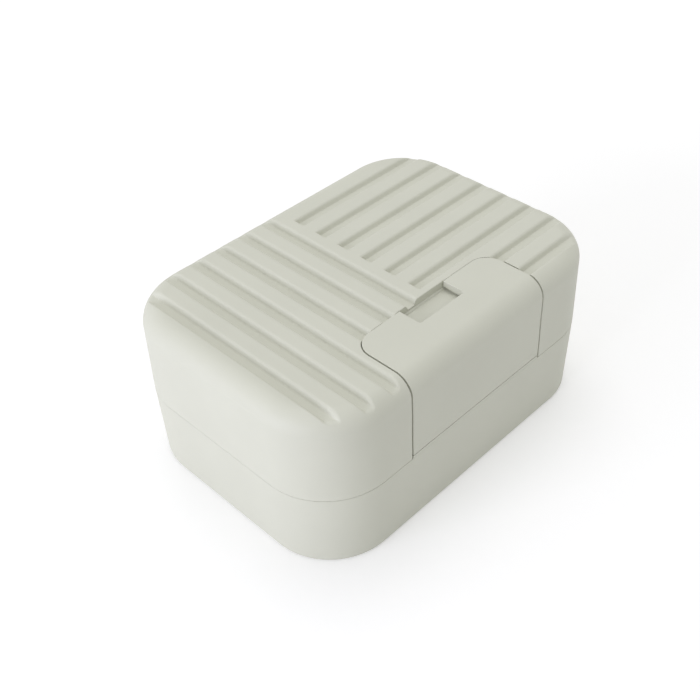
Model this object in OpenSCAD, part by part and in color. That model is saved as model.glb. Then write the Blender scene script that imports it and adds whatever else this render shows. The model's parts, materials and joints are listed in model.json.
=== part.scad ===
// Travel soap box: a base and a hinged lid, a wide latch that folds over the lid's
// front edge, a silicone seal round the lid's plug and a loose drain tray.
// The origin is the middle of the underside, +Z is up and the latch faces -Y.

/* [Body] */
// Overall length along X, at the parting line
body_l = 110; // [96:1:136]
// Overall width along Y, at the parting line
body_w = 78.4; // [70:0.2:98]
// Height of the base, from the table to the parting line
base_h = 23.6; // [20:0.2:34]
// Height of the lid, from the parting line to its top
lid_h = 25.6; // [22:0.2:36]
// Radius of the upright corners, seen from above
corner_r = 19.6; // [17:0.2:24]
// How far the lid's walls lean in on their way up
lid_lean = 0.5; // [0.2:0.1:0.8]
// How far the base's walls lean in on their way down
base_lean = 0.5; // [0.2:0.1:0.8]
// Radius of the lid's top edge
top_round = 5.4; // [5:0.2:7]
// Radius of the base's bottom edge
foot_round = 1.2; // [0.8:0.2:2.4]
// Thickness of the outer walls
wall = 2.4; // [2:0.1:2.6]
// Thickness of the base's floor
floor_t = 2.2; // [1.6:0.1:3]
// Thickness of the lid's top between its grooves
top_t = 2.8; // [2.4:0.1:3.4]
// Seam between the two rims
seam = 0.1; // [0.1:0.05:0.2]

/* [Grooves in the lid] */
// Width of a groove at the lid's top
groove_w = 3.8; // [3:0.1:5]
// Width of a groove's flat floor
groove_floor_w = 2.2; // [1:0.1:2.6]
// Depth of a groove
groove_d = 1.5; // [0.6:0.1:1.8]
// Depth at which a groove's soft lip turns into its steeper side
lip_d = 0.25; // [0.1:0.05:0.4]
// From the left face to the middle of the first cross groove
cross_margin = 9.1; // [8.5:0.1:12]
// Spacing of the grooves that run across the lid
cross_pitch = 8.44; // [7:0.02:10]
// From the rear face to the middle of the first long groove
long_margin = 11.3; // [9:0.1:14]
// Spacing of the grooves that run along the lid
long_pitch = 8.57; // [7:0.02:10]
// From the middle of the last cross groove to the square ends of the long grooves
field_gap = 5.7; // [4.5:0.1:7.5]

/* [Latch] */
// Width of the latch
latch_w = 50.2; // [40:0.2:58]
// Thickness of the latch
latch_t = 1.8; // [1.6:0.1:2]
// How far the latch reaches back over the lid from the front face
latch_reach = 20; // [17:0.2:24]
// Radius of the latch's two rear corners
latch_corner = 5.5; // [3:0.5:7]
// Gap between the latch and the lid at the sides
latch_side_gap = 0.35; // [0.3:0.05:0.5]
// Gap between the latch and the lid at the rear edge
latch_rear_gap = 0.25; // [0.2:0.05:0.5]
// Gap between the latch and the lid under it
latch_under_gap = 0.2; // [0.2:0.05:0.3]
// Gap between the latch's foot and the base's land
latch_foot_gap = 0.25; // [0.2:0.05:0.4]
// Width of the finger window in the latch's rear edge
window_w = 16.6; // [14:0.2:20]
// Length of the finger window
window_l = 6.9; // [5:0.1:9]
// Radius of the window's inner corners
window_corner = 0.7; // [0.4:0.1:1.5]
// Depth of the finger recess in the lid, under the window
recess_d = 2.6; // [2.3:0.1:3]
// Height of the base's land, which meets the latch's foot
land_h = 0.8; // [0.4:0.1:1.2]
// Radius of the latch's hinge barrel
barrel_r = 1.9; // [1.8:0.1:2]
// Radius of the latch's hinge pin
latch_pin_r = 0.8; // [0.7:0.05:0.9]

/* [Lid hinge] */
// From the middle of the box to the middle of each hinge
hinge_x = 24; // [20:1:25]
// Width of each of the base's hinge ears
ear_w = 8; // [6:0.5:10]
// Radius of the ears round the hinge axis
ear_r = 2; // [1.9:0.05:2.1]
// Radius of the hinge pins
hinge_pin_r = 0.9; // [0.8:0.05:1]
// Gap between an ear and the lid, at the ear's sides
ear_gap = 0.25; // [0.2:0.05:0.4]

/* [Plug and seal] */
// From the outer face to the lid's inner plug wall
plug_in = 4.4; // [4.4:0.05:4.6]
// Thickness of the plug wall
plug_t = 1.3; // [1.2:0.05:1.5]
// How far the plug wall reaches into the base
plug_d = 3; // [2.8:0.1:3.4]
// Height of the seal's band
seal_h = 1.7; // [1.5:0.1:1.8]
// Depth of the seal's groove in the plug wall
seal_seat = 0.5; // [0.4:0.05:0.6]
// Gap between the relaxed seal and the base's wall
seal_gap = 0.3; // [0.25:0.05:0.4]

/* [Drain tray] */
// From the outer face to the tray's edge
tray_in = 7.2; // [7.2:0.1:8.5]
// Height of the tray's plate above the table, at its upper face
tray_z = 9.8; // [8:0.2:12]
// Thickness of the plate
tray_t = 1.6; // [1.4:0.1:2]
// Height of the rim above the plate
tray_rim_h = 3.2; // [2:0.2:5]
// Thickness of the rim
tray_rim_t = 1.4; // [1.2:0.1:2]
// Width of a drain slot
slot_w = 3; // [2.4:0.1:3.6]
// Length of a drain slot
slot_l = 21; // [16:1:23]
// Spacing of the drain slots
slot_pitch = 7; // [6.4:0.1:8]
// Height of the ribs that hold the soap off the plate
soap_rib_h = 1.2; // [0.8:0.1:2]
// Radius of the finger notches in the tray's ends
notch_r = 9; // [7:0.5:11]
// Gap between the tray and the ribs that centre it
tray_gap = 0.3; // [0.3:0.05:0.6]

/* [Hidden] */
$fn = 96;

// Clearances of the pins: pressed in, snapped in and turning
press = 0.01;
snap = 0.02;
run = 0.05;
// A little more than nothing, so that cuts pass right through and faces don't just touch
bit = 0.02;
over = 1;

front_y = -body_w / 2;
rear_y = body_w / 2;
lid_z = base_h + seam;
lid_tall = lid_h - seam;
top_z = base_h + lid_h;

// The latch turns about this line, just above the base's land
latch_z = base_h + land_h + latch_foot_gap + barrel_r;
latch_y = front_y + barrel_r;
// The foot's lower corner is rounded, and this radius is what it sweeps
foot_corner = 0.5;
foot_sweep = sqrt(2) * (barrel_r - foot_corner) + foot_corner + 0.17;
pocket_w = latch_w + 2 * latch_side_gap;
latch_rear = front_y + latch_reach;
// The lid is thick behind the latch, and beside it where it holds the pin's ends
latch_grip = 3.2;
backing_w = pocket_w + 2 * (latch_grip + 1.4);
backing_reach = latch_reach + 2.4;
latch_pin_l = pocket_w + 2 * latch_grip;
// Play at the ends of a pin
pin_play = 0.1;

// The lid turns about this line, inside its rear wall. To open by 100 degrees, its back face
// needs the line at least tan(50) ear radii above the rim.
hinge_rise = 1.25 * ear_r;
hinge_z = base_h + hinge_rise;
hinge_y = rear_y - ear_r;
ear_sweep = sqrt(ear_r * ear_r + hinge_rise * hinge_rise) + 0.15;
hinge_slot = ear_w + 2 * ear_gap;
hinge_grip = 3.3;
knuckle_w = hinge_grip + 1.1;
knuckle_rise = 4;
hinge_pin_l = hinge_slot + 2 * hinge_grip;

plug_r = corner_r - plug_in;
plug_l = body_l - 2 * plug_in;
plug_w = body_w - 2 * plug_in;
seal_z = base_h - plug_d + 0.6;

tray_l = body_l - 2 * tray_in;
tray_w = body_w - 2 * tray_in;
tray_r = corner_r - tray_in;
foot_x = tray_l / 2 - 6.8;
foot_y = tray_w / 2 - 10;

// Grooves, as many as fit between the margins
cross_n = floor((body_l / 2 - cross_margin) / cross_pitch) + 1;
long_n = floor((body_w - long_margin - 6.5) / long_pitch) + 1;
cross_x = -body_l / 2 + cross_margin;
long_y = rear_y - long_margin;
long_start = cross_x + (cross_n - 1) * cross_pitch + field_gap;

// Outline of a wall from a corner's centre outwards: a leaning side that turns into
// the flat end by a round edge. It can start short of or past the centre.
module wall_outline(r, h, lean, edge, start = 0) {
  tilt = atan(lean / h);
  cz = h - edge;
  cx = r - lean * cz / h - edge / cos(tilt);
  polygon([[start, 0], [r, 0], [cx, cz] + edge * [cos(tilt), sin(tilt)], [cx, cz], [cx, h],
           [start, h]]);
  translate([cx, cz]) circle(edge);
}

// Carries an outline round a rounded rectangle; its x starts at the corners' centres
module around(l, w, r) {
  x = l / 2 - r;
  y = w / 2 - r;
  for (half = [0, 180]) rotate(half) {
    translate([x, y, 0]) rotate_extrude(angle = 90) children();
    translate([-x, y, 0]) rotate(90) rotate_extrude(angle = 90) children();
    translate([-x, y, 0]) rotate([90, 0, 90]) linear_extrude(2 * x) children();
    translate([x, y, 0]) rotate([90, 0, 0]) linear_extrude(2 * y) children();
  }
}

module middle(l, w, r, h) translate([r - l / 2, r - w / 2, 0])
  cube([l - 2 * r, w - 2 * r, h]);

// Block with rounded upright corners, leaning sides and one rounded end
module rounded_block(l, w, r, h, lean, edge) {
  around(l, w, r) wall_outline(r, h, lean, edge);
  middle(l, w, r, h);
}

module rounded_plate(l, w, r, t) {
  around(l, w, r) square([r, t]);
  middle(l, w, r, t);
}

// Carries an outline along X at the front; its x starts at the corners' centres
module along_front(w) translate([w / 2, front_y + corner_r, 0]) rotate([90, 0, -90])
  linear_extrude(w) children();

module rod(r, l, y, z) translate([-l / 2, y, z]) rotate([0, 90, 0]) cylinder(r = r, h = l);

// Plan of a tongue that comes from the front and ends in two round corners
module tongue(w, end_y, r) {
  from_y = front_y - over;
  translate([-w / 2, from_y]) square([w, end_y - r - from_y]);
  translate([r - w / 2, from_y]) square([w - 2 * r, end_y - from_y]);
  for (s = [-1, 1]) translate([s * (w / 2 - r), end_y - r]) circle(r);
}

module lid_form() translate([0, 0, lid_z])
  rounded_block(body_l, body_w, corner_r, lid_tall, lid_lean, top_round);

module lid_cavity() {
  h = lid_tall - top_t;
  translate([0, 0, lid_z]) rounded_block(body_l - 2 * wall, body_w - 2 * wall,
    corner_r - wall, h, lid_lean * h / lid_tall, top_round - wall);
}

// The lid's front outline, set in by a thickness
module front_outline(inset, start) {
  h = lid_tall - inset;
  translate([0, lid_z]) wall_outline(corner_r - inset, h, lid_lean * h / lid_tall,
    max(top_round - inset, 0.5), start);
}

// The plug wall hangs from the lid's top and carries the seal on its outer face
module plug_wall() {
  translate([0, 0, base_h - plug_d]) around(plug_l, plug_w, plug_r)
    translate([plug_r - plug_t, 0]) square([plug_t, plug_d + lid_h - top_t + 0.5]);
}

module seal_seat_cut() translate([0, 0, seal_z]) around(plug_l, plug_w, plug_r)
  translate([plug_r - seal_seat, 0]) square([seal_seat + over, seal_h]);

// Thick stretch of the lid behind the latch and beside its pin
module latch_backing() intersection() {
  lid_form();
  along_front(backing_w) difference() {
    start = corner_r - backing_reach;
    translate([start, lid_z]) square([backing_reach, lid_tall]);
    front_outline(plug_in, start - over);
  }
}

module latch_pocket() {
  intersection() {
    along_front(pocket_w) difference() {
      start = corner_r - latch_reach - latch_rear_gap;
      translate([start - over, lid_z - over])
        square([latch_reach + 2 * over + 1, lid_tall + 2 * over]);
      front_outline(latch_t + latch_under_gap, start - 2 * over);
      translate([start - 3 * over, lid_z - 2 * over])
        square([corner_r - start + 3 * over - latch_t - latch_under_gap, 3 * over]);
    }
    linear_extrude(top_z + over)
      tongue(pocket_w, latch_rear + latch_rear_gap, latch_corner + latch_side_gap);
  }
  // Room for the barrel and for the foot as it turns
  rod(foot_sweep, pocket_w, latch_y, latch_z);
  translate([-pocket_w / 2, front_y - over, lid_z - over])
    cube([pocket_w, over + barrel_r + foot_sweep, latch_z - lid_z + over]);
}

// Finger recess: a steep rear side and a floor that runs on under the latch
module finger_recess() {
  rear = latch_rear + latch_rear_gap;
  w = window_w + 1.6;
  translate([-w / 2, 0, 0]) rotate([90, 0, 90]) linear_extrude(w) polygon([
    [rear, top_z + over], [rear, top_z - 0.2], [rear - 0.5, top_z - recess_d],
    [rear - 11, top_z - recess_d], [rear - 12, top_z - latch_t - latch_under_gap + bit],
    [rear - 12, top_z + over]]);
}

// Cross-section of a groove, from its floor up past the lid's top
module groove_outline() polygon([
  [-groove_floor_w / 2, -groove_d], [groove_floor_w / 2, -groove_d],
  [groove_w / 2 - 0.5, -lip_d], [groove_w / 2, 0], [groove_w / 2, over],
  [-groove_w / 2, over], [-groove_w / 2, 0], [0.5 - groove_w / 2, -lip_d]]);

module grooves() {
  for (i = [0 : cross_n - 1])
    translate([cross_x + i * cross_pitch, rear_y + over, top_z]) rotate([90, 0, 0])
      linear_extrude(body_w + 2 * over) groove_outline();
  for (i = [0 : long_n - 1])
    translate([long_start, long_y - i * long_pitch, top_z]) rotate([90, 0, 90])
      linear_extrude(body_l) groove_outline();
}

// The lid's lower rear edge is rounded about the hinge, so that it clears the base
module rear_relief() difference() {
  translate([-body_l / 2, hinge_y, lid_z - over])
    cube([body_l, ear_r + over, hinge_z - lid_z + over]);
  rod(hinge_rise - seam, body_l + 2, hinge_y, hinge_z);
}

module hinge_block(x) intersection() {
  lid_form();
  translate([x - hinge_slot / 2 - knuckle_w, rear_y - plug_in - bit, lid_z])
    cube([hinge_slot + 2 * knuckle_w, plug_in + over, hinge_z - lid_z + knuckle_rise]);
}

// Slot for a base ear, as wide as the ear sweeps, and snap sockets for the pin's ends
module hinge_cut(x) translate([x, 0, 0]) {
  inner = ear_r + 0.3;
  rod(inner, hinge_slot, hinge_y, hinge_z);
  translate([-hinge_slot / 2, hinge_y - inner, lid_z - over])
    cube([hinge_slot, inner + ear_r + over, hinge_z - lid_z + over]);
  intersection() {
    rod(ear_sweep, hinge_slot, hinge_y, hinge_z);
    translate([-hinge_slot / 2, hinge_y, hinge_z - bit])
      cube([hinge_slot, ear_sweep, ear_sweep + over]);
  }
  pin_socket(hinge_pin_r + run, hinge_pin_l + 2 * pin_play, hinge_y, hinge_z);
}

// Blind hole for a pin, with a narrower mouth below that the pin is pushed through
module pin_socket(r, l, y, z) {
  mouth = 1.6 * r;
  rod(r, l, y, z);
  translate([-l / 2, y - mouth / 2, lid_z - over]) cube([l, mouth, z - lid_z + over]);
}

module lid() color([0.80, 0.80, 0.75]) difference() {
  union() {
    difference() {
      lid_form();
      lid_cavity();
    }
    plug_wall();
    latch_backing();
    for (s = [-1, 1]) hinge_block(s * hinge_x);
  }
  grooves();
  latch_pocket();
  finger_recess();
  seal_seat_cut();
  rear_relief();
  for (s = [-1, 1]) hinge_cut(s * hinge_x);
  pin_socket(latch_pin_r + snap, latch_pin_l + 2 * pin_play, latch_y, latch_z);
}

module base_form() translate([0, 0, base_h]) mirror([0, 0, 1])
  rounded_block(body_l, body_w, corner_r, base_h, base_lean, foot_round);

module base_cavity() {
  h = base_h - floor_t;
  translate([0, 0, base_h]) mirror([0, 0, 1]) rounded_block(body_l - 2 * wall,
    body_w - 2 * wall, corner_r - wall, h, base_lean * h / base_h, foot_round + 0.8);
}

// Upright ribs on the inner walls keep the drain tray in the middle
module tray_guides() {
  rib_w = 1.6;
  rib_top = tray_z + 1.2;
  reach = tray_in - tray_gap;
  side_x = body_l / 2 - corner_r - 5;
  end_y = body_w / 2 - corner_r - 6;
  intersection() {
    base_form();
    for (s = [-1, 1]) {
      for (t = [-1, 1]) {
        translate([t * side_x - rib_w / 2, s > 0 ? rear_y - reach : front_y, floor_t - bit])
          cube([rib_w, reach, rib_top - floor_t]);
        translate([s > 0 ? body_l / 2 - reach : -body_l / 2, t * end_y - rib_w / 2,
                   floor_t - bit]) cube([reach, rib_w, rib_top - floor_t]);
      }
    }
  }
}

// Low land on the front rim, which meets the latch's foot and is hollowed to let it turn
module latch_land() difference() {
  translate([-latch_w / 2, front_y + bit, base_h - 0.2])
    cube([latch_w, latch_t - bit, land_h + 0.2]);
  rod(foot_sweep, latch_w + 2, latch_y, latch_z);
}

module hinge_ear(x) translate([x - ear_w / 2, 0, 0]) difference() {
  rotate([90, 0, 90]) linear_extrude(ear_w) {
    translate([hinge_y, hinge_z]) circle(ear_r);
    translate([rear_y - wall, base_h - 0.5])
      square([wall - 0.05, hinge_rise + 0.5]);
  }
  translate([-over, hinge_y, hinge_z]) rotate([0, 90, 0])
    cylinder(r = hinge_pin_r + press, h = ear_w + 2 * over);
}

module base() color([0.76, 0.77, 0.71]) {
  difference() {
    base_form();
    base_cavity();
  }
  tray_guides();
  latch_land();
  for (s = [-1, 1]) hinge_ear(s * hinge_x);
}

// Section of the latch: a skin that follows the lid's front and top, and a barrel
module latch_outline() intersection() {
  front_outline(0, corner_r - latch_reach);
  union() {
    difference() {
      translate([corner_r - latch_reach - over, latch_z])
        square([latch_reach + 2 * over, top_z]);
      front_outline(latch_t, corner_r - latch_reach - 2 * over);
    }
    translate([corner_r - barrel_r, latch_z]) {
      circle(barrel_r);
      translate([0, foot_corner - barrel_r]) square([barrel_r, barrel_r - foot_corner + bit]);
      translate([0, -barrel_r]) square([barrel_r - foot_corner, barrel_r]);
      translate([barrel_r - foot_corner, foot_corner - barrel_r]) circle(foot_corner);
    }
  }
}

module latch() color([0.79, 0.79, 0.74]) difference() {
  intersection() {
    along_front(latch_w) latch_outline();
    linear_extrude(top_z + over) tongue(latch_w, latch_rear, latch_corner);
  }
  // Finger window, open at the rear edge
  translate([0, latch_rear - window_l, latch_z]) mirror([0, 1, 0]) linear_extrude(top_z)
    tongue(window_w, 0, window_corner);
  rod(latch_pin_r + run, latch_w + 2, latch_y, latch_z);
}

module latch_pin() color("silver") rod(latch_pin_r, latch_pin_l, latch_y, latch_z);

module hinge_pin(x) color("silver") translate([x, 0, 0])
  rod(hinge_pin_r, hinge_pin_l, hinge_y, hinge_z);

module hinge_pin_left() hinge_pin(-hinge_x);

module hinge_pin_right() hinge_pin(hinge_x);

// Band in the plug's groove with two thin lips that reach out to the base's wall
module lid_seal() color([0.93, 0.93, 0.91]) {
  lip = plug_in - wall - seal_gap;
  lip_t = seal_h * 0.32;
  translate([0, 0, seal_z]) around(plug_l, plug_w, plug_r) translate([plug_r, 0]) {
    translate([-seal_seat, 0]) square([seal_seat + 0.4, seal_h]);
    for (z = [0, seal_h - lip_t])
      polygon([[0, z], [0.4, z], [lip, z + 0.1], [lip, z + lip_t - 0.1], [0.4, z + lip_t],
               [0, z + lip_t]]);
  }
}

module tray_slot(x, y) translate([x, y, 0]) {
  translate([-slot_w / 2, -(slot_l - slot_w) / 2, 0]) cube([slot_w, slot_l - slot_w, tray_z]);
  for (s = [-1, 1]) translate([0, s * (slot_l - slot_w) / 2, 0])
    cylinder(d = slot_w, h = tray_z);
}

module drain_tray() color([0.85, 0.85, 0.81]) difference() {
  slots = floor((tray_l / 2 - 12) / slot_pitch);
  row_y = slot_l / 2 + 3;
  union() {
    translate([0, 0, tray_z - tray_t]) rounded_plate(tray_l, tray_w, tray_r, tray_t);
    translate([0, 0, tray_z - tray_t]) around(tray_l, tray_w, tray_r)
      translate([tray_r - tray_rim_t, 0]) square([tray_rim_t, tray_t + tray_rim_h]);
    for (x = [-foot_x, foot_x], y = [-foot_y, foot_y])
      translate([x, y, floor_t + 0.1]) cylinder(r = 3, h = tray_z - tray_t - floor_t);
    translate([0, 0, floor_t + 0.1]) cylinder(r = 2.5, h = tray_z - tray_t - floor_t);
    for (i = [0.5 - slots : slots - 0.5])
      translate([i * slot_pitch - 0.7, -row_y - slot_l / 2, tray_z - bit])
        cube([1.4, 2 * row_y + slot_l, soap_rib_h + bit]);
  }
  for (i = [-slots : slots], s = [-1, 1]) tray_slot(i * slot_pitch, s * row_y);
  for (s = [-1, 1]) translate([s * (tray_l / 2 + 2), 0, tray_z - tray_t - over])
    cylinder(r = notch_r, h = tray_t + tray_rim_h + 2 * over);
}

base();
lid();
latch();
latch_pin();
hinge_pin_left();
hinge_pin_right();
lid_seal();
drain_tray();
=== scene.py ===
# %% [markdown]
# # A travel soap box
# The box is moulded in a pale sage-grey plastic: a base, a hinged lid with grooves in two
# directions, and a wide latch that folds over the lid's front edge. The pieces that carry and
# move it are already made at their real size and come in as a fixed frame. This script gives
# each of them its soft edges and its finish, and sets up the picture.

import json
import math

import bmesh
import bpy
import numpy as np
from mathutils import Matrix, Vector


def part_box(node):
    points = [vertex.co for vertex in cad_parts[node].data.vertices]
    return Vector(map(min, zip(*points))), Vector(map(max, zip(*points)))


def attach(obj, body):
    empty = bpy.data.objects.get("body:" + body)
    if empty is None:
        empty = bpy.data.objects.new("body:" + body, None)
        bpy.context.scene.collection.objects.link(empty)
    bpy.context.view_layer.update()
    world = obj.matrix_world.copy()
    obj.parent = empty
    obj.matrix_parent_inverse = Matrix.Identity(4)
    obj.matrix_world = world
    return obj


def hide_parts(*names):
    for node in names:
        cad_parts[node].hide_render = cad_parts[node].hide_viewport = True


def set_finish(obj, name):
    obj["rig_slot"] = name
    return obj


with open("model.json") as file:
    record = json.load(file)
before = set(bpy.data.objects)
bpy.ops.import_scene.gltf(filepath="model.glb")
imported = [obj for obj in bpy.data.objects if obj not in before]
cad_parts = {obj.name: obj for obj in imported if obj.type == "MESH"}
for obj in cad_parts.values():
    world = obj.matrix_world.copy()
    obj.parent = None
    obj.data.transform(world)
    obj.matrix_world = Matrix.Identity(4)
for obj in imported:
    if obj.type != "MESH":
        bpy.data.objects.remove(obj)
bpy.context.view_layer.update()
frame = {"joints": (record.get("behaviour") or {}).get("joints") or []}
MM = 0.001

# %% [markdown]
# ## Sizes
# The overall sizes are read from the frame, so a surface made here lands where the solid one
# is. What the frame doesn't say in its boxes and joints is a named value in millimetres.

# %% Sizes from the frame, in millimetres
lid_box = [np.array(corner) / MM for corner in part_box("lid")]
latch_box = [np.array(corner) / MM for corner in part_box("latch")]
joints = {joint["name"]: joint for joint in frame["joints"]}
HINGE = [v / MM for v in joints["lid_hinge"]["pos_m"][1:]]
LATCH_PIN = [v / MM for v in joints["latch_hinge"]["pos_m"][1:]]
HINGE_Y, HINGE_Z = HINGE
LATCH_Y, LATCH_Z = LATCH_PIN
HINGE_RISE = 2.5

LENGTH = lid_box[1][0] - lid_box[0][0]
FRONT = lid_box[0][1]
REAR = -FRONT
WIDTH = REAR - FRONT
TOP = lid_box[1][2]
PARTING = HINGE_Z - HINGE_RISE
SEAM = 0.1
CORNER = 19.6
LEAN = 0.5
WALL = 2.4
print(f"box {LENGTH:.1f} x {WIDTH:.1f} x {TOP:.1f} mm, parting line at {PARTING:.1f} mm")

# %% [markdown]
# ## Camera
# The camera stands in front of the near left corner and looks down on the lid. Its place was
# found by fitting the grooves' straight lines and the silhouette, so it is written as a point
# looked at, a distance, two angles and a slight roll.

# %% Camera
LOOK_AT = np.array([-27.1, -20.4, 49.3])
DISTANCE = 242.0
AZIMUTH, ELEVATION, ROLL = (math.radians(a) for a in (-43.898, 41.199, -2.549))
FOCAL_PIXELS, PICTURE_PIXELS, SENSOR = 1016.7, 700, 36.0

back = np.array([math.sin(AZIMUTH) * math.cos(ELEVATION),
                 -math.cos(AZIMUTH) * math.cos(ELEVATION), math.sin(ELEVATION)])
level = np.array([math.cos(AZIMUTH), math.sin(AZIMUTH), 0.0])
upright = np.cross(back, level)
right = math.cos(ROLL) * level + math.sin(ROLL) * upright
up = math.cos(ROLL) * upright - math.sin(ROLL) * level

camera_data = bpy.data.cameras.new("camera")
camera_data.sensor_width = SENSOR
camera_data.lens = SENSOR * FOCAL_PIXELS / PICTURE_PIXELS
camera_data.clip_start = 0.01
camera = bpy.data.objects.new("camera", camera_data)
place = Matrix(np.array([right, up, back]).T.tolist()).to_4x4()
place.translation = Vector((LOOK_AT + DISTANCE * back) * MM)
camera.matrix_world = place
bpy.context.scene.collection.objects.link(camera)
bpy.context.scene.camera = camera
print(f"lens {camera_data.lens:.1f} mm")

# %% [markdown]
# ## Light and floor
# The photograph is lit softly from above with a large light on the left: the left end is the
# brightest side and the front the darkest. The floor is white, and only a faint shadow shows
# round the box. So the floor is a plain diffuse white that also glows a little where the camera
# or a reflection sees it, which lifts it to white without adding light to the box. The glow
# grows away from the box, where the lamps' light on the floor falls off.

# %% World and lamps
WHITE = (1.0, 1.0, 1.0, 1.0)
SKY_STRENGTH = 0.63

scene = bpy.context.scene
scene.view_settings.view_transform = "Standard"

world = bpy.data.worlds.new("studio")
world.use_nodes = True
scene.world = world
sky = world.node_tree.nodes["Background"]
sky.inputs["Color"].default_value = WHITE
sky.inputs["Strength"].default_value = SKY_STRENGTH


def seen_directly(nodes, links):
    """One where the camera, a reflection or clear glass looks, and nought for light."""
    path = nodes.new("ShaderNodeLightPath")
    total = path.outputs["Is Camera Ray"]
    for name in ("Is Glossy Ray", "Is Transmission Ray"):
        add = nodes.new("ShaderNodeMath")
        add.operation = "MAXIMUM"
        links.new(total, add.inputs[0])
        links.new(path.outputs[name], add.inputs[1])
        total = add.outputs[0]
    return total


nodes, links = world.node_tree.nodes, world.node_tree.links
white = nodes.new("ShaderNodeBackground")
white.inputs["Color"].default_value = WHITE
choose = nodes.new("ShaderNodeMixShader")
links.new(seen_directly(nodes, links), choose.inputs[0])
links.new(sky.outputs[0], choose.inputs[1])
links.new(white.outputs[0], choose.inputs[2])
links.new(choose.outputs[0], nodes["World Output"].inputs["Surface"])


def area_lamp(name, spot, aim, size, watts, colour):
    """A square softbox at spot, turned towards aim, both in millimetres."""
    data = bpy.data.lights.new(name, "AREA")
    data.color = colour
    data.size = size * MM
    data.energy = watts
    lamp = bpy.data.objects.new(name, data)
    lamp.location = Vector(spot) * MM
    lamp.rotation_euler = (Vector(aim) - Vector(spot)).to_track_quat("-Z", "Y").to_euler()
    scene.collection.objects.link(lamp)


BOX_MIDDLE = (0, 0, 25)
COOL, NEUTRAL = (0.86, 0.86, 1.0), (1.0, 1.0, 1.0)
area_lamp("left_softbox", (-640, 60, 140), BOX_MIDDLE, size=380, watts=2.35, colour=COOL)
area_lamp("top_softbox", (150, 120, 640), BOX_MIDDLE, size=450, watts=1.0, colour=NEUTRAL)
print(f"sky at {SKY_STRENGTH} and two softboxes")

# %% Floor, with the distances and the strengths between which its glow grows
FLOOR = 3.0
PAPER_WHITE = (0.86, 0.86, 0.86, 1.0)
GLOW = {"From Min": 0.12, "From Max": 0.7, "To Min": 0.26, "To Max": 0.55}

floor_mesh = bpy.data.meshes.new("floor")
floor_corners = [(x * FLOOR, y * FLOOR, 0) for x, y in ((-1, -1), (1, -1), (1, 1), (-1, 1))]
floor_mesh.from_pydata(floor_corners, [], [(0, 1, 2, 3)])
floor = bpy.data.objects.new("floor", floor_mesh)
scene.collection.objects.link(floor)

paper = bpy.data.materials.new("paper")
paper.use_nodes = True
nodes, links = paper.node_tree.nodes, paper.node_tree.links
nodes.clear()
diffuse = nodes.new("ShaderNodeBsdfDiffuse")
diffuse.inputs["Color"].default_value = PAPER_WHITE
glow = nodes.new("ShaderNodeEmission")
away = nodes.new("ShaderNodeVectorMath")
away.operation = "LENGTH"
links.new(nodes.new("ShaderNodeTexCoord").outputs["Object"], away.inputs[0])
rise = nodes.new("ShaderNodeMapRange")
rise.interpolation_type = "SMOOTHSTEP"
for name, value in GLOW.items():
    rise.inputs[name].default_value = value
links.new(away.outputs["Value"], rise.inputs["Value"])
links.new(rise.outputs["Result"], glow.inputs["Strength"])
dark = nodes.new("ShaderNodeEmission")
dark.inputs["Strength"].default_value = 0.0
pick = nodes.new("ShaderNodeMixShader")
links.new(seen_directly(nodes, links), pick.inputs[0])
links.new(dark.outputs[0], pick.inputs[1])
links.new(glow.outputs[0], pick.inputs[2])
added = nodes.new("ShaderNodeAddShader")
links.new(diffuse.outputs[0], added.inputs[0])
links.new(pick.outputs[0], added.inputs[1])
out = nodes.new("ShaderNodeOutputMaterial")
links.new(added.outputs[0], out.inputs["Surface"])
floor_mesh.materials.append(paper)
print(f"floor {2 * FLOOR:.0f} m wide")

# %% [markdown]
# ## Soft edges from a distance field
# A moulded part has a small round on every edge, also where a groove runs out over the lid's
# rounded border. Bevels are hard to lay there. A distance field makes them by itself: each
# shape is a function that is negative inside and grows with the distance outside, and joining
# or cutting two shapes takes a radius for the edge between them.

# %% Joining, crossing and cutting shapes with a round edge


def both(a, b, radius=0.0):
    """What is inside both shapes, with that radius on the edge where they cross."""
    if radius == 0:
        return np.maximum(a, b)
    corner = np.hypot(np.maximum(a + radius, 0), np.maximum(b + radius, 0))
    return np.minimum(np.maximum(a, b), -radius) + corner


def join(a, b, radius=0.0):
    """Either shape, with that radius in the inner corner between them."""
    return -both(-a, -b, radius)


def cut(a, b, radius=0.0):
    """The first shape without the second, with that radius on the new edge."""
    return both(a, -b, radius)


def slab(v, low, high):
    """Between two planes."""
    return np.maximum(low - v, v - high)


def rod(y, z, radius, at=(0.0, 0.0)):
    """Round bar along X."""
    return np.hypot(y - at[0], z - at[1]) - radius


def rounded_rectangle(x, y, length, width, radius):
    """Distance from a rectangle with round corners, seen from above."""
    qx = np.abs(x) - (length / 2 - radius)
    qy = np.abs(y) - (width / 2 - radius)
    outside = np.hypot(np.maximum(qx, 0), np.maximum(qy, 0))
    return outside + np.minimum(np.maximum(qx, qy), 0) - radius


def tongue(x, y, width, end, radius):
    """Strip that comes from the front and ends at a y, with two round corners."""
    qx = np.abs(x) - (width / 2 - radius)
    qy = y - (end - radius)
    outside = np.hypot(np.maximum(qx, 0), np.maximum(qy, 0))
    return outside + np.minimum(np.maximum(qx, qy), 0) - radius


# %% [markdown]
# ## From a field to a mesh
# The field is read on a grid whose lines lie close together where there is detail and far apart
# elsewhere. Each grid cell that the surface passes through gets one point, each crossed grid
# edge one four-sided face, and the points are then slid down the field's slope until they lie
# on the surface. The slope also gives the shading normal.

# %% Grid lines and the skin of a field
LEAST_STEP = 0.05
SLOPE_REACH = 0.02
CELL_MARGIN = 0.02
MOST_SLIDE = 0.15
ODD_NORMAL = 0.3


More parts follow.
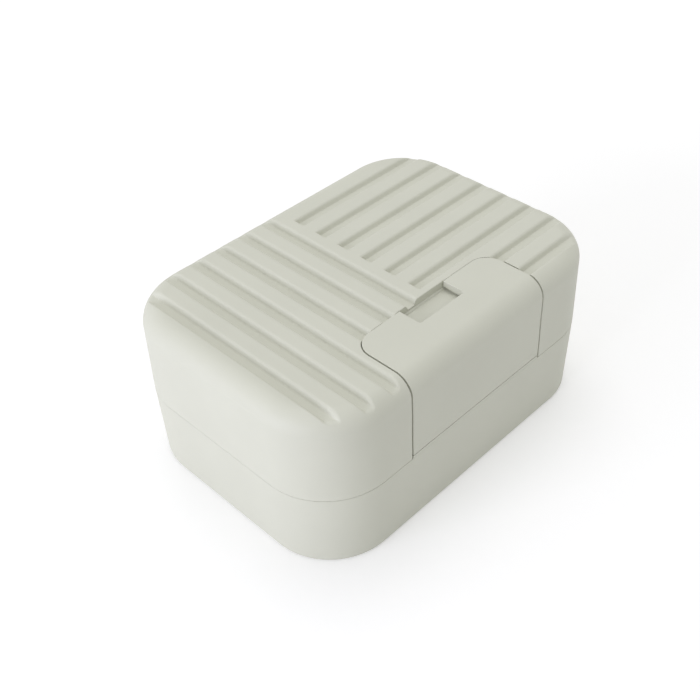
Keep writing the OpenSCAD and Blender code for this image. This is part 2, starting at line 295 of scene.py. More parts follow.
def grid_lines(low, high, coarse, fine):
    """Places from low to high, a coarse step apart, or closer inside the fine spans."""
    places = [low]
    while places[-1] < high:
        step = min([coarse] + [s for a, b, s in fine if a <= places[-1] + s and places[-1] < b])
        ahead = [a - places[-1] for a, b, s in fine if 0 < a - places[-1] < step]
        places.append(places[-1] + max(min([step] + ahead), LEAST_STEP))
    return np.array(places, np.float32)


def slope(field, points, reach=SLOPE_REACH):
    """Gradient of the field at points."""
    columns = []
    for axis in range(3):
        shift = np.zeros(3, np.float32)
        shift[axis] = reach
        columns.append((field(*(points + shift).T) - field(*(points - shift).T)) / (2 * reach))
    return np.stack(columns, 1)


def slide_on(field, points, low, high, rounds=3):
    """Points moved down the slope onto the surface, each kept inside its own box."""
    for _ in range(rounds):
        gradient = slope(field, points)
        steep = np.maximum((gradient ** 2).sum(1), 0.05)
        points = points - gradient * (field(*points.T) / steep)[:, None]
        points = np.clip(points, low, high).astype(np.float32)
    return points


def skin(field, xs, ys, zs):
    """(points, four-sided faces) of the surface where the field is nought."""
    value = np.broadcast_to(field(xs[:, None, None], ys[None, :, None], zs[None, None, :]),
                            (len(xs), len(ys), len(zs)))
    inside = value < 0
    count = np.zeros([n - 1 for n in inside.shape], np.int8)
    corners = [(i, j, k) for i in (0, 1) for j in (0, 1) for k in (0, 1)]
    for i, j, k in corners:
        count += inside[i:inside.shape[0] - 1 + i, j:inside.shape[1] - 1 + j,
                        k:inside.shape[2] - 1 + k]
    crossed = (count > 0) & (count < 8)
    number = np.full(count.shape, -1, np.int32)
    cells = np.argwhere(crossed)
    number[crossed] = np.arange(len(cells))
    i, j, k = cells.T
    low = np.stack([xs[i], ys[j], zs[k]], 1)
    high = np.stack([xs[i + 1], ys[j + 1], zs[k + 1]], 1)
    total = np.zeros_like(low)
    hits = np.zeros(len(cells), np.float32)
    for a in corners:
        for axis in range(3):
            if a[axis]:
                continue
            b = tuple(a[n] + (n == axis) for n in range(3))
            va = value[i + a[0], j + a[1], k + a[2]]
            vb = value[i + b[0], j + b[1], k + b[2]]
            hit = (va < 0) != (vb < 0)
            part = np.where(hit, va / np.where(va == vb, 1, va - vb), 0)
            spot = np.array(a, np.float32) + part[:, None] * (np.arange(3) == axis)
            total += np.where(hit[:, None], low + spot * (high - low), 0)
            hits += hit
    margin = CELL_MARGIN * (high - low)
    points = slide_on(field, total / hits[:, None], low + margin, high - margin)
    faces = []
    for axis in range(3):
        side, other = (axis + 1) % 3, (axis + 2) % 3
        here = [slice(1, -1)] * 3
        there = [slice(1, -1)] * 3
        here[axis], there[axis] = slice(0, -1), slice(1, None)
        change = inside[tuple(here)].astype(np.int8) - inside[tuple(there)]
        spots = np.argwhere(change != 0)
        outward = change[tuple(spots.T)] > 0
        spots[:, side] += 1
        spots[:, other] += 1
        ring = []
        for s, o in ((-1, -1), (0, -1), (0, 0), (-1, 0)):
            cell = spots.copy()
            cell[:, side] += s
            cell[:, other] += o
            ring.append(number[tuple(cell.T)])
        quad = np.stack(ring, 1)
        faces.append(np.where(outward[:, None], quad, quad[:, ::-1]))
    return points, np.concatenate(faces)


def mesh_object(name, points, faces):
    """New object from points in millimetres and four-sided faces."""
    mesh = bpy.data.meshes.new(name)
    mesh.vertices.add(len(points))
    mesh.vertices.foreach_set("co", (points * MM).astype(np.float32).ravel())
    mesh.loops.add(faces.size)
    mesh.loops.foreach_set("vertex_index", faces.astype(np.int32).ravel())
    mesh.polygons.add(len(faces))
    mesh.polygons.foreach_set("loop_start", np.arange(0, faces.size, 4, dtype=np.int32))
    mesh.update(calc_edges=True)
    mesh.validate()
    piece = bpy.data.objects.new(name, mesh)
    scene.collection.objects.link(piece)
    return piece


def thin_out(piece, keep):
    """Collapses the faces that matter least, until that share of the piece is left."""
    decimate = piece.modifiers.new("thin", "DECIMATE")
    decimate.ratio = keep
    seen = piece.evaluated_get(bpy.context.evaluated_depsgraph_get())
    mesh = bpy.data.meshes.new_from_object(seen)
    piece.modifiers.clear()
    old = piece.data
    piece.data = mesh
    bpy.data.meshes.remove(old)


def unit(vectors):
    """The vectors at length one."""
    return vectors / np.maximum(np.linalg.norm(vectors, axis=1), 1e-9)[:, None]


def turned_over(field, points, corners):
    """The triangles that face against the field's slope."""
    a, b, c = points[corners.T]
    return (np.cross(b - a, c - a) * slope(field, (a + b + c) / 3)).sum(1) < 0


def mould(node, field, lines, body, slot, keep):
    """A finished moulding in place of a node: the field's skin, thinned out, with its normals.

    Thinning moves points off the surface, so they are slid on again. Where that would turn a
    triangle over, its points stay, and where a normal goes astray, the mesh's own is taken.
    """
    piece = mesh_object(node + "_moulding", *skin(field, *lines))
    made = len(piece.data.polygons)
    thin_out(piece, keep)
    mesh = piece.data
    points = np.empty(len(mesh.vertices) * 3, np.float32)
    mesh.vertices.foreach_get("co", points)
    points = points.reshape(-1, 3) / MM
    mesh.calc_loop_triangles()
    corners = np.empty(len(mesh.loop_triangles) * 3, np.int32)
    mesh.loop_triangles.foreach_get("vertices", corners)
    corners = corners.reshape(-1, 3)
    before = points
    points = slide_on(field, points, points - MOST_SLIDE, points + MOST_SLIDE)
    stay = corners[turned_over(field, points, corners)].ravel()
    points[stay] = before[stay]
    mesh.vertices.foreach_set("co", (points * MM).astype(np.float32).ravel())
    mesh.update()
    own = np.empty(len(mesh.vertices) * 3, np.float32)
    mesh.vertex_normals.foreach_get("vector", own)
    own = own.reshape(-1, 3)
    normals = unit(slope(field, points))
    odd = (normals * own).sum(1) < ODD_NORMAL
    normals[odd] = own[odd]
    mesh.shade_smooth()
    mesh.normals_split_custom_set_from_vertices(normals.tolist())
    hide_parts(node)
    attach(piece, body)
    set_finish(piece, slot)
    still = turned_over(field, points, corners).sum()
    print(f"{node}: {made} squares made, {len(corners)} triangles kept, {len(stay)} corners put "
          f"back, {still} turned over, {odd.sum()} odd normals, "
          f"lowest {points.min(0).round(3)}, highest {points.max(0).round(3)}")
    return piece


# %% [markdown]
# ## Outer form
# Base and lid share one outline. The lid's walls lean in a little on their way up, so that it
# leaves its mould, and its top edge is a large round. The latch and the pocket that it lies in
# follow the same front, set in by a thickness.

# %% Outer form
LID_Z = PARTING + SEAM / 2
TOP_ROUND = 5.4
TOP_T = 2.8
UPRIGHT = math.cos(math.atan(LEAN / (TOP - LID_Z)))
RIM_EDGE = 0.05


def outline(x, y):
    """Distance from the outline that base and lid share."""
    return rounded_rectangle(x, y, LENGTH, WIDTH, CORNER)


def leaning_in(z):
    """How far the lid's outer wall has leaned in at a height."""
    return LEAN * (z - LID_Z) / (TOP - LID_Z)


def front_skin(y, z, depth):
    """The lid's front and top, as if they went on to both sides, set in by a depth."""
    wall = (-y - WIDTH / 2 + leaning_in(z)) * UPRIGHT
    return both(wall + depth, z - TOP + depth, max(TOP_ROUND - depth, 0.5))


# %% [markdown]
# ## Lid
# The lid is a shell with a plug wall inside that reaches into the base. Its grooves run across
# the left half and along the right half. In front lies the latch's pocket, and a shallow recess
# under the latch's window lets a fingertip in. It could be a solid with the grooves cut out and
# the edges bevelled. But a groove fades out over the round border, where a bevel has no clean
# edge to follow, so the whole lid is one field.

# %% Grooves
GROOVE_W, GROOVE_FLOOR, GROOVE_D = 3.8, 2.2, 1.5
GROOVE_LIP, GROOVE_FOOT, GROOVE_END = 0.5, 0.2, 0.3
CROSS_MARGIN, CROSS_STEP, CROSS_COUNT = 9.0, 8.44, 6
LONG_MARGIN, LONG_STEP, LONG_COUNT = 11.3, 8.57, 8
FIELD_GAP = 5.7
CROSS = [-LENGTH / 2 + CROSS_MARGIN + CROSS_STEP * n for n in range(CROSS_COUNT)]
LONG = [REAR - LONG_MARGIN - LONG_STEP * n for n in range(LONG_COUNT)]
LONG_START = CROSS[-1] + FIELD_GAP
GROOVE_SIDE = math.atan2(GROOVE_D, (GROOVE_W - GROOVE_FLOOR) / 2)


def groove(across, z):
    """Groove with leaning sides, from the distance to its middle line."""
    floor = TOP - GROOVE_D
    away = (across - GROOVE_FLOOR / 2) * math.sin(GROOVE_SIDE)
    side = away - (z - floor) * math.cos(GROOVE_SIDE)
    return both(side, floor - z, GROOVE_FOOT)


def cut_grooves(lid, x, y, z):
    """The lid without its cross grooves on the left and its long ones on the right."""
    cross = np.min([np.abs(x - middle) for middle in CROSS], axis=0)
    lid = cut(lid, groove(cross, z), GROOVE_LIP)
    long = np.min([np.abs(y - middle) for middle in LONG], axis=0)
    ended = both(groove(long, z), LONG_START - x, GROOVE_END)
    return cut(lid, ended, GROOVE_LIP)


print(f"{CROSS_COUNT} cross grooves and {LONG_COUNT} long ones, {GROOVE_D} mm deep")

# %% Lid, with the pocket, the recess, the plug wall and the places of the pins
LATCH_W = latch_box[1][0] - latch_box[0][0]
LATCH_REAR = latch_box[1][1]
LATCH_T = 1.8
SIDE_GAP, REAR_GAP, UNDER_GAP = 0.42, 0.06, 0.2
POCKET_W = LATCH_W + 2 * SIDE_GAP
POCKET_REAR = LATCH_REAR + REAR_GAP
POCKET_D = LATCH_T + UNDER_GAP
POCKET_CORNER, POCKET_EDGE = 5.85, 0.12
BARREL = LATCH_Y - FRONT
FOOT_SWEEP = 2.65
WINDOW_W, WINDOW_L, WINDOW_CORNER = 16.6, 6.9, 0.7
RECESS_W, RECESS_L, RECESS_D, RECESS_SLOPE = 18.2, 11.5, 2.6, 0.5
PLUG_IN, PLUG_T, PLUG_D = 4.4, 1.3, 3.0
SEAT_Z, SEAT_H, SEAT_D = PARTING - 2.4, 1.7, 0.5
BACKING_SIDE, BACKING_REAR = 4.6, 2.4
EAR_X, EAR_R, EAR_W = 24.0, 2.0, 8.0
EAR_GAP, EAR_SWEEP, RELIEF_R = 0.3, 3.35, 2.4
SLOT_W = EAR_W + 0.5
BLOCK_SIDE, BLOCK_RISE = 4.4, 4.0
HINGE_HOLE_R, HINGE_HOLE_IN = 0.95, 3.4
LATCH_HOLE_R, LATCH_HOLE_IN = 0.82, 3.3
MOUTH = 0.8


def pin_socket(x, y, z, half, radius, at):
    """Blind hole for a pin, with a narrower mouth below."""
    hole = rod(y, z, radius, at)
    mouth = both(np.abs(y - at[0]) - MOUTH * radius, z - at[1])
    return both(join(hole, mouth), np.abs(x) - half)


def lid_field(x, y, z):
    """The shell, then what is added to its inside and what is cut from it."""
    wall = (outline(x, y) + leaning_in(z)) * UPRIGHT
    solid = both(both(wall, z - TOP, TOP_ROUND), LID_Z - z, RIM_EDGE)
    cavity = both(wall + WALL, z - (TOP - TOP_T), TOP_ROUND - WALL)
    inward = outline(x, y) + PLUG_IN
    ring = both(both(inward, -inward - PLUG_T), PARTING - PLUG_D - z, 0.3)
    ring = both(ring, z - (TOP - TOP_T + 0.5))
    ring = cut(ring, both(-inward - SEAT_D, slab(z, SEAT_Z, SEAT_Z + SEAT_H)))
    backing = both(both(-front_skin(y, z, PLUG_IN), np.abs(x) - POCKET_W / 2 - BACKING_SIDE),
                   y - (LATCH_REAR + BACKING_REAR), 0.5)
    middle = np.abs(x) - EAR_X
    block = both(both(np.abs(middle) - SLOT_W / 2 - BLOCK_SIDE, REAR - PLUG_IN - y),
                 z - HINGE_Z - BLOCK_RISE, 0.3)
    hollow = cut(cut(cavity, backing, 0.4), block, 0.3)
    lid = cut(solid, hollow, RIM_EDGE)
    lid = cut_grooves(lid, x, y, z)
    lid = join(lid, ring, 0.3)
    pocket = both(tongue(x, y, POCKET_W, POCKET_REAR, POCKET_CORNER), -front_skin(y, z, POCKET_D))
    foot = both(both(np.abs(x) - POCKET_W / 2, y - LATCH_Y - FOOT_SWEEP), z - LATCH_Z)
    swing = both(np.abs(x) - POCKET_W / 2, rod(y, z, FOOT_SWEEP, LATCH_PIN))
    lid = cut(lid, join(join(pocket, foot), swing), POCKET_EDGE)
    slant = math.atan2(RECESS_D, RECESS_SLOPE)
    rear = (y - POCKET_REAR) * math.sin(slant) - (z - TOP) * math.cos(slant)
    recess = both(both(rear, TOP - RECESS_D - z, 0.2), np.abs(x) - RECESS_W / 2, 0.4)
    lid = cut(lid, both(recess, POCKET_REAR - RECESS_L - y), 0.5)
    relief = both(both(HINGE_Y - y, z - HINGE_Z), -rod(y, z, RELIEF_R, HINGE))
    lid = cut(lid, relief)
    slot = both(np.abs(middle) - SLOT_W / 2,
                join(join(rod(y, z, EAR_R + EAR_GAP, HINGE),
                          both(HINGE_Y - EAR_R - EAR_GAP - y, z - HINGE_Z)),
                     both(rod(y, z, EAR_SWEEP, HINGE), HINGE_Y - y)))
    lid = cut(lid, slot, 0.15)
    lid = cut(lid, pin_socket(middle, y, z, SLOT_W / 2 + HINGE_HOLE_IN, HINGE_HOLE_R, HINGE))
    return cut(lid, pin_socket(x, y, z, POCKET_W / 2 + LATCH_HOLE_IN, LATCH_HOLE_R, LATCH_PIN))


FINE = 1.0
BORDER = 0.55


def pair(distance):
    """The same distance to both sides of the middle."""
    return [-distance, distance]


def near(places, reach, step):
    """Fine spans about some places, for the grid."""
    return [(place - reach, place + reach, step * FINE) for place in places]


def grid(x_spans, y_spans, z_spans, low, high, coarse):
    """The three rows of grid lines round a piece, from its box and its fine spans."""
    return [grid_lines(a - BORDER, b + BORDER, c * FINE, spans)
            for a, b, c, spans in zip(low, high, coarse, (x_spans, y_spans, z_spans))]


# Where the grooves' sides and the latch's round corners lie.
GROOVE_SIDES = pair(1.65)
TURN_X, TURN_Y = 22.5, -22.0

lid_x = near([c + side for c in CROSS for side in GROOVE_SIDES], 0.85, 0.24)
lid_x += near(pair(LENGTH / 2 - 3), 4, 0.5) + near(pair(LENGTH / 2 - 11), 4, 0.55)
lid_x += near([LONG_START + 0.1], 1.1, 0.2) + near(pair(TURN_X), 3.5, 0.4)
lid_x += near(pair(POCKET_W / 2), 0.7, 0.14) + near(pair(RECESS_W / 2), 0.6, 0.2)
lid_y = near([c + side for c in LONG for side in GROOVE_SIDES], 0.85, 0.25)
lid_y += near([FRONT + 3, REAR - 3], 4, 0.45) + near([TURN_Y], 3.5, 0.4)
lid_y += near([FRONT + 11.5, REAR - 11.5], 4.5, 0.55)
lid_y += near([POCKET_REAR - 0.1], 0.8, 0.13)
lid_z = near([PARTING - 1.3], 2.2, 0.2) + near([TOP - 2.5], 3.5, 0.4)
lid_z += near([TOP - 0.75], 1.0, 0.16) + near([TOP - RECESS_D], 0.35, 0.13)
lid_lines = grid(lid_x, lid_y, lid_z, (-LENGTH / 2, FRONT, PARTING - PLUG_D),
                 (LENGTH / 2, REAR, TOP), (1.1, 1.1, 0.9))
lid_piece = mould("lid", lid_field, lid_lines, "lid", "shell", keep=0.32)

# %% [markdown]
# ## Latch
# The latch is one skin that follows the lid's front and top. It ends below in a barrel round
# its pin, with a square foot that stands on the base's land, and a window in its rear edge
# shows the finger recess. A bent plate with a bevel would do as well, but the field takes the
# lid's own front, so the two faces run on in one.

# %% Latch
LATCH_CORNER, LATCH_EDGE = 5.5, 0.12
LATCH_FOOT_EDGE, LATCH_BORE_R = 0.15, 0.85


def latch_field(x, y, z):
    """The skin, the foot and the barrel, trimmed to the latch's outline."""
    latch = both(front_skin(y, z, 0), -front_skin(y, z, LATCH_T))
    latch = both(latch, LATCH_Z - z)
    foot = both(front_skin(y, z, 0), LATCH_Z - BARREL - z, LATCH_FOOT_EDGE)
    foot = both(both(foot, y - LATCH_Y), z - LATCH_Z)
    latch = join(latch, join(foot, rod(y, z, BARREL, LATCH_PIN)))
    latch = both(latch, tongue(x, y, LATCH_W, LATCH_REAR, LATCH_CORNER), LATCH_EDGE)
    window = both(np.abs(x) - WINDOW_W / 2, LATCH_REAR - WINDOW_L - y, WINDOW_CORNER)
    latch = cut(latch, window, LATCH_EDGE)
    return cut(latch, rod(y, z, LATCH_BORE_R, LATCH_PIN), 0.1)


latch_x = near(pair(LATCH_W / 2), 0.7, 0.12) + near(pair(TURN_X), 3.5, 0.4)
latch_x += near(pair(WINDOW_W / 2), 0.9, 0.15)
latch_y = near([LATCH_REAR], 0.7, 0.12) + near([LATCH_REAR - WINDOW_L], 0.9, 0.15)
latch_y += near([FRONT + 2.5], 3.5, 0.25) + near([TURN_Y], 3, 0.4)
latch_z = near([LATCH_Z], 2.6, 0.25) + near([TOP - 3], 3.2, 0.3)
latch_z += near([TOP - 0.2, TOP - LATCH_T], 0.35, 0.12)
latch_lines = grid(latch_x, latch_y, latch_z, (-LATCH_W / 2, FRONT, LATCH_Z - BARREL),
                   (LATCH_W / 2, LATCH_REAR, TOP), (1.1, 1.1, 0.9))
latch_piece = mould("latch", latch_field, latch_lines, "latch", "shell", keep=0.6)

# %% [markdown]
# ## Base
# The base is a plain shell with a rounded floor edge. Inside, upright ribs centre the drain
# tray. The front rim carries a low land for the latch's foot, and the rear rim the two hinge
# ears. It could be bevelled too, but it shares the lid's outline, so it is made the same way.

# %% Base
FLOOR_T, FOOT_ROUND, INNER_ROUND, BASE_LEAN = 2.2, 1.2, 2.0, 0.5
LAND_H, LAND_IN, LAND_EDGE = 1.02, 0.03, 0.06
GUIDE_W, GUIDE_REACH, GUIDE_TOP = 1.6, 6.9, 11.0
GUIDE_X, GUIDE_Y = 30.4, 13.6
EAR_BORE_R = 0.91


def base_field(x, y, z):
    """The shell with its guides, the land in front and the ears at the rear."""
    tilt = math.cos(math.atan(BASE_LEAN / PARTING))
    wall = (outline(x, y) + BASE_LEAN * (PARTING - z) / PARTING) * tilt
    solid = both(both(wall, -z, FOOT_ROUND), z - PARTING, RIM_EDGE)
    cavity = both(wall + WALL, FLOOR_T - z, INNER_ROUND)
    side = both(np.abs(np.abs(x) - GUIDE_X) - GUIDE_W / 2,
                WIDTH / 2 - GUIDE_REACH - np.abs(y), 0.4)
    end = both(np.abs(np.abs(y) - GUIDE_Y) - GUIDE_W / 2,
               LENGTH / 2 - GUIDE_REACH - np.abs(x), 0.4)
    guides = both(join(side, end), z - GUIDE_TOP, 0.4)
    base = cut(solid, cut(cavity, guides, 0.4), RIM_EDGE)
    land = both(np.abs(x) - LATCH_W / 2, both(outline(x, y) + LAND_IN, y - FRONT - LATCH_T), 0.15)
    land = both(land, slab(z, PARTING - 0.4, PARTING + LAND_H), LAND_EDGE)
    land = cut(land, rod(y, z, FOOT_SWEEP, LATCH_PIN))
    middle = np.abs(x) - EAR_X
    neck = both(slab(y, REAR - WALL, REAR - 0.05), slab(z, PARTING - 0.5, HINGE_Z))
    ear = join(rod(y, z, EAR_R, HINGE), neck)
    ear = both(ear, np.abs(middle) - EAR_W / 2, 0.3)
    ear = cut(ear, rod(y, z, EAR_BORE_R, HINGE), 0.1)
    return join(join(base, land), ear)


base_x = near(pair(LENGTH / 2 - 3.5), 4.3, 0.5) + near(pair(GUIDE_X), 1.4, 0.3)
base_x += near(pair(LATCH_W / 2), 0.4, 0.12)
base_x += near(pair(EAR_X - EAR_W / 2) + pair(EAR_X + EAR_W / 2), 0.6, 0.15)
base_y = near(pair(WIDTH / 2 - 3.5), 4.3, 0.45)
base_y += near(pair(GUIDE_Y), 1.4, 0.3) + near([FRONT + 1], 1.2, 0.2)
base_y += near([HINGE_Y], 2.6, 0.25)
base_z = near([1.5], 2, 0.3) + near([GUIDE_TOP], 0.7, 0.25) + near([PARTING + 0.3], 0.9, 0.13)
base_z += near([HINGE_Z], 2.3, 0.25)
base_lines = grid(base_x, base_y, base_z, (-LENGTH / 2, FRONT, 0),
                  (LENGTH / 2, REAR, HINGE_Z + EAR_R), (1.2, 1.2, 1.2))
base_piece = mould("base", base_field, base_lines, "base", "shell", keep=0.4)

# %% [markdown]
# ## Drain tray
# The tray is a plate with a rim, slots and low ribs that hold the soap off the water. It stands
# on five feet, and a notch at each end takes a fingertip. Its slots repeat evenly, so the field
# folds the plate onto one slot and one rib, where a solid would take a cut for each.

# %% Drain tray
TRAY_IN, TRAY_Z, TRAY_T, TRAY_RIM_H, TRAY_RIM_T = 7.2, 9.8, 1.6, 3.2, 1.4
SLOT_HALF, SLOT_LONG, SLOT_STEP, SLOT_ROW, SLOTS = 1.5, 21.0, 7.0, 13.5, 5
RIB_W, RIB_H, TRAY_FOOT = 1.4, 1.2, FLOOR_T + 0.1
CORNER_FOOT_R, MIDDLE_FOOT_R = 3.0, 2.5
NOTCH_R, NOTCH_OUT = 9.0, 2
TRAY_L = LENGTH - 2 * TRAY_IN
TRAY_FEET = (TRAY_L / 2 - 6.8, WIDTH / 2 - TRAY_IN - 10)


def tray_field(x, y, z):
    """The plate in its rim, with slots, ribs, feet and the two notches."""
    inside = rounded_rectangle(x, y, TRAY_L, WIDTH - 2 * TRAY_IN, CORNER - TRAY_IN)
    low = TRAY_Z - TRAY_T
    tray = both(inside, slab(z, low, TRAY_Z + TRAY_RIM_H), 0.6)
    tray = cut(tray, both(inside + TRAY_RIM_T, TRAY_Z - z, 0.5), 0.6)
    column = SLOT_STEP * np.clip(np.round(x / SLOT_STEP), -SLOTS, SLOTS)
    along = np.maximum(np.abs(np.abs(y) - SLOT_ROW) - (SLOT_LONG / 2 - SLOT_HALF), 0)
    tray = cut(tray, np.hypot(x - column, along) - SLOT_HALF, 0.3)
    rib = SLOT_STEP * (np.clip(np.floor(x / SLOT_STEP), -SLOTS, SLOTS - 1) + 0.5)
    rib = both(np.abs(x - rib) - RIB_W / 2, np.abs(y) - SLOT_ROW - SLOT_LONG / 2, 0.6)
    tray = join(tray, both(rib, slab(z, TRAY_Z - 0.5, TRAY_Z + RIB_H), 0.5), 0.15)
    foot = np.hypot(np.abs(x) - TRAY_FEET[0], np.abs(y) - TRAY_FEET[1]) - CORNER_FOOT_R
    foot = np.minimum(foot, np.hypot(x, y) - MIDDLE_FOOT_R)
    tray = join(tray, both(foot, slab(z, TRAY_FOOT, TRAY_Z - 0.6), 0.4), 0.4)
    notch = np.hypot(np.abs(x) - TRAY_L / 2 - NOTCH_OUT, y) - NOTCH_R
    return cut(tray, notch, 0.5)


tray_x = near([SLOT_STEP * n / 2 for n in range(-11, 12)], 1.9, 0.4)
tray_x += near(pair(TRAY_L / 2 - 3), 4, 0.4)
tray_y = near(pair(3.6) + pair(23.6), 1.6, 0.45) + near(pair(22), 3.2, 0.5)
tray_y += near(pair(WIDTH / 2 - TRAY_IN - 2), 3, 0.4) + near([0], 2.8, 0.5)
tray_z = near([TRAY_Z - TRAY_T / 2], 1.4, 0.25) + near([TRAY_Z + 1], 0.5, 0.2)
tray_z += near([TRAY_Z + TRAY_RIM_H, TRAY_FOOT], 0.7, 0.2)
tray_lines = grid(tray_x, tray_y, tray_z, (-TRAY_L / 2, -WIDTH / 2 + TRAY_IN, TRAY_FOOT),
                  (TRAY_L / 2, WIDTH / 2 - TRAY_IN, TRAY_Z + TRAY_RIM_H), (1.0, 1.0, 0.8))
tray_piece = mould("drain_tray", tray_field, tray_lines, "tray", "tray", keep=0.4)

# %% [markdown]
# ## Seal and pins
# The seal has one cross-section all the way round, so it is swept: a band that sits in the
# plug's groove and two soft lips that reach out to the base's wall. The three pins are turned
# round their axis, with a small round at each end.

# %% Seal and pins


def loft(name, rows, closed):
    """A mesh through rows of points; each row is a closed loop."""
    rows = np.array(rows, float)
    count, size = rows.shape[:2]
    steps = count if closed else count - 1
    faces = [(a * size + b, a * size + (b + 1) % size,
              (a + 1) % count * size + (b + 1) % size, (a + 1) % count * size + b)
             for a in range(steps) for b in range(size)]
    if not closed:
        faces += [tuple(range(size))[::-1], tuple((count - 1) * size + b for b in range(size))]
    mesh = bpy.data.meshes.new(name)
    mesh.from_pydata((rows.reshape(-1, 3) * MM).tolist(), [], faces)
    work = bmesh.new()
    work.from_mesh(mesh)
    bmesh.ops.recalc_face_normals(work, faces=work.faces)
    work.to_mesh(mesh)
    work.free()
    mesh.shade_smooth()
    mesh.set_sharp_from_angle(angle=math.radians(50))
    piece = bpy.data.objects.new(name, mesh)
    scene.collection.objects.link(piece)
    print(f"{name}: {len(mesh.polygons)} faces")
    return piece


def arc(middle, radius, start, end, steps):
    """Points of an arc in a cross-section, with its angles in degrees."""
    angles = np.radians(np.linspace(start, end, steps + 1))
    return [(middle[0] + radius * math.cos(a), middle[1] + radius * math.sin(a)) for a in angles]


LIP_GAP, LIP_T, LIP_R = 0.3, 0.54, 0.17
BAND_IN, BAND_OUT, BAND_PLAY = -0.48, 0.4, 0.02
VALLEY, VALLEY_R = (0.55, SEAT_H / 2), 0.31
lip_tip = PLUG_IN - WALL - LIP_GAP - LIP_R
lower, upper = (lip_tip, LIP_T / 2), (lip_tip, SEAT_H - LIP_T / 2)
seal_section = [(BAND_IN, BAND_PLAY), (BAND_OUT, BAND_PLAY)]
seal_section += arc(lower, LIP_R, -90, 90, 6) + arc(VALLEY, VALLEY_R, 270, 90, 8)
seal_section += arc(upper, LIP_R, -90, 90, 6)
seal_section += [(BAND_OUT, SEAT_H - BAND_PLAY), (BAND_IN, SEAT_H - BAND_PLAY)]
seal_rows = []
plug_x, plug_y, plug_r = LENGTH / 2 - CORNER, WIDTH / 2 - CORNER, CORNER - PLUG_IN
for quarter, (sx, sy) in enumerate(((1, 1), (-1, 1), (-1, -1), (1, -1))):
    for turn in np.radians(90 * quarter + np.linspace(0, 90, 25)):
        seal_rows.append([(sx * plug_x + (plug_r + u) * math.cos(turn),
                           sy * plug_y + (plug_r + u) * math.sin(turn), SEAT_Z + v)
                          for u, v in seal_section])
seal_piece = loft("seal_ring", seal_rows, True)
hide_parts("lid_seal")
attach(seal_piece, "lid")
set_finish(seal_piece, "seal")


def turned_pin(node, body):
    """A round pin along X in a node's place, with rounded ends."""
    low, high = (np.array(corner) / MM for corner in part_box(node))
    middle, radius, end = (low + high) / 2, (high[2] - low[2]) / 2, 0.25
    side = arc((low[0] + end, radius - end), end, 180, 90, 5)
    side += arc((high[0] - end, radius - end), end, 90, 0, 5)
    rows = [[(a, middle[1] + b * math.cos(t), middle[2] + b * math.sin(t))
             for t in np.linspace(0, 2 * math.pi, 48, endpoint=False)] for a, b in side]
    pin = loft(node + "_wire", rows, False)
    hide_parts(node)
    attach(pin, body)
    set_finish(pin, "pins")
    return pin


pin_pieces = [turned_pin("latch_pin", "lid"), turned_pin("hinge_pin_left", "base"),
              turned_pin("hinge_pin_right", "base")]

# %% [markdown]
# ## Plastic
# The shell is a matte polypropylene, pale sage grey, with a fine spark-eroded texture. Two
# noises make it, as they need no unwrapping and have no seams: a wide one that lets the colour
# drift a little, and a fine one for the grain.

# %% Plastic


def ramp(nodes, low, high):
    """Colour ramp between two colours over the middle of a noise."""
    tone = nodes.new("ShaderNodeValToRGB")
    for stop, spot, colour in zip(tone.color_ramp.elements, (0.3, 0.7), (low, high)):
        stop.position = spot
        stop.color = (*colour, 1.0)
    return tone


def plastic(name, colour, roughness, grain):
    """Matte moulded plastic: a colour that drifts a little, and a fine eroded grain."""
    material = bpy.data.materials.new(name)
    material.use_nodes = True
    nodes, links = material.node_tree.nodes, material.node_tree.links
    shader = nodes["Principled BSDF"]
    where = nodes.new("ShaderNodeTexCoord").outputs["Object"]
    drift = nodes.new("ShaderNodeTexNoise")
    drift.inputs["Scale"].default_value = 60.0
    drift.inputs["Detail"].default_value = 3.0
    links.new(where, drift.inputs["Vector"])
    tint = ramp(nodes, *[[min(1.0, c * gain) for c in colour] for gain in DRIFT])
    links.new(drift.outputs["Fac"], tint.inputs[0])
    links.new(tint.outputs["Color"], shader.inputs["Base Color"])
    speck = nodes.new("ShaderNodeTexNoise")
    speck.inputs["Scale"].default_value = 2600.0
    speck.inputs["Detail"].default_value = 2.0
    links.new(where, speck.inputs["Vector"])
    bump = nodes.new("ShaderNodeBump")
    bump.inputs["Strength"].default_value = grain
    bump.inputs["Distance"].default_value = GRAIN_HEIGHT
    links.new(speck.outputs["Fac"], bump.inputs["Height"])
    links.new(bump.outputs["Normal"], shader.inputs["Normal"])
    shader.inputs["Roughness"].default_value = roughness
    return material


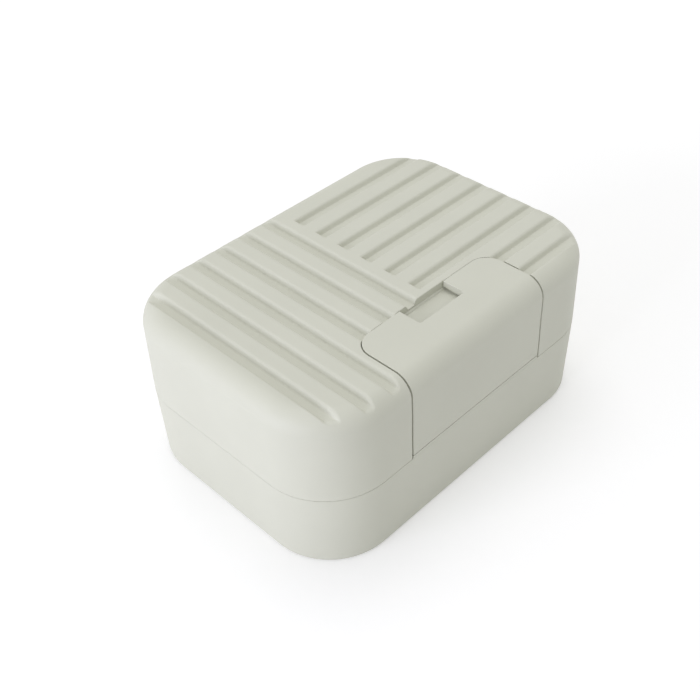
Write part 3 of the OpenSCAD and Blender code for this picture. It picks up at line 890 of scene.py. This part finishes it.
DRIFT = (0.985, 1.015)
GRAIN_HEIGHT = 0.00004
SAGE, LIGHT_SAGE, MILK = (0.640, 0.645, 0.555), (0.70, 0.705, 0.645), (0.80, 0.80, 0.765)
shell_plastic = plastic("shell_plastic", SAGE, 0.55, 0.35)
tray_plastic = plastic("tray_plastic", LIGHT_SAGE, 0.5, 0.35)
print("shell and tray plastic")

# %% [markdown]
# ## Silicone and steel
# The seal is a milky silicone, which lets some light in under its skin. The pins are drawn
# wire, so their brightness runs in fine lines along them.

# %% Silicone and steel
silicone = plastic("silicone", MILK, 0.42, 0.1)
milky = silicone.node_tree.nodes["Principled BSDF"]
milky.inputs["Subsurface Weight"].default_value = 0.35
milky.inputs["Subsurface Radius"].default_value = (1.0, 1.0, 1.0)
milky.inputs["Subsurface Scale"].default_value = 0.001


def drawn_steel():
    """Stainless wire with fine lines along X."""
    material = bpy.data.materials.new("drawn_steel")
    material.use_nodes = True
    nodes, links = material.node_tree.nodes, material.node_tree.links
    shader = nodes["Principled BSDF"]
    shader.inputs["Metallic"].default_value = 1.0
    stretch = nodes.new("ShaderNodeMapping")
    stretch.inputs["Scale"].default_value = (120.0, 9000.0, 9000.0)
    links.new(nodes.new("ShaderNodeTexCoord").outputs["Object"], stretch.inputs["Vector"])
    streaks = nodes.new("ShaderNodeTexNoise")
    streaks.inputs["Scale"].default_value = 1.0
    links.new(stretch.outputs["Vector"], streaks.inputs["Vector"])
    tone = ramp(nodes, *[(grey, grey, grey * 1.01) for grey in (0.55, 0.68)])
    links.new(streaks.outputs["Fac"], tone.inputs[0])
    links.new(tone.outputs["Color"], shader.inputs["Base Color"])
    gloss = nodes.new("ShaderNodeMapRange")
    gloss.inputs["To Min"].default_value = 0.24
    gloss.inputs["To Max"].default_value = 0.4
    links.new(streaks.outputs["Fac"], gloss.inputs["Value"])
    links.new(gloss.outputs["Result"], shader.inputs["Roughness"])
    return material


steel = drawn_steel()
finish = {"shell": shell_plastic, "tray": tray_plastic, "seal": silicone, "pins": steel}
for piece in (lid_piece, latch_piece, base_piece, tray_piece, seal_piece, *pin_pieces):
    piece.data.materials.clear()
    piece.data.materials.append(finish[piece["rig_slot"]])
